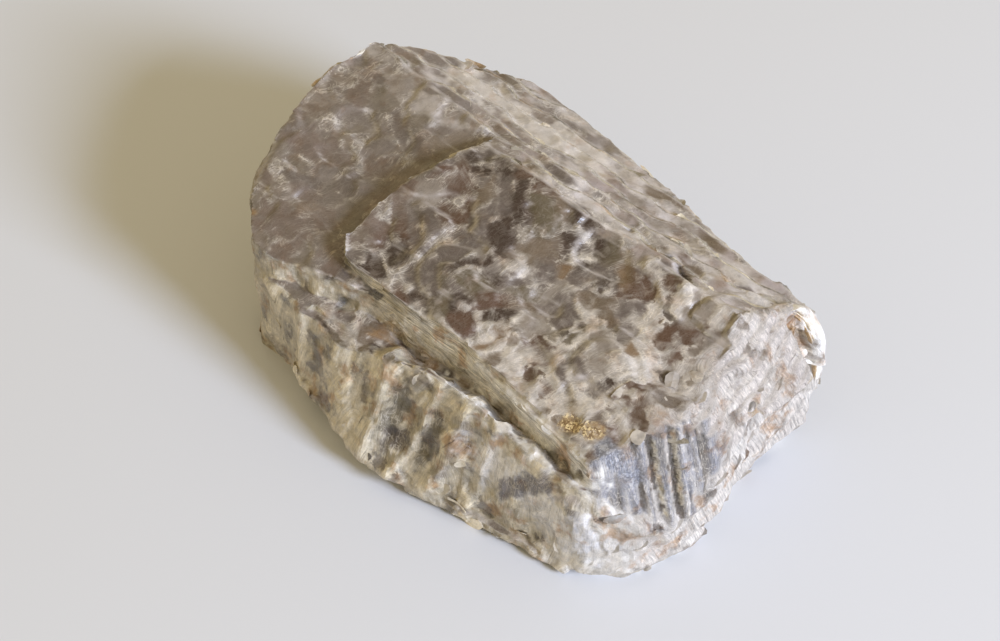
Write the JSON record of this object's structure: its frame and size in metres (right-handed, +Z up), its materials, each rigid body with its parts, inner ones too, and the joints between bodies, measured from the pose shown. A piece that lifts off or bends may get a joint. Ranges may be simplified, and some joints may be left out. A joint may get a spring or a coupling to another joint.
{
  "type": "mica crystal",
  "caption": "Hand-sized broken book of brown-grey mica: stacked cleavage sheets with a raised plate, a sloping flank, a pleated front and a pale fluted end.",
  "frame": {"origin": "on the level of the flat foot, under the middle of the stone's bounding box", "axes": "+X along the stone's longest extent, towards its pale fluted end; +Y towards the sloping flank; +Z up, out of the flat foot it lies on"},
  "size_m": [0.1136, 0.0806, 0.0423],
  "materials": {
    "mica": "flaky, with glassy brown cleavage faces in a pale cream network and pearly broken edges"
  },
  "bodies": {
    "root": {"mica_crystal": "mica"}
  },
  "joints": []
}
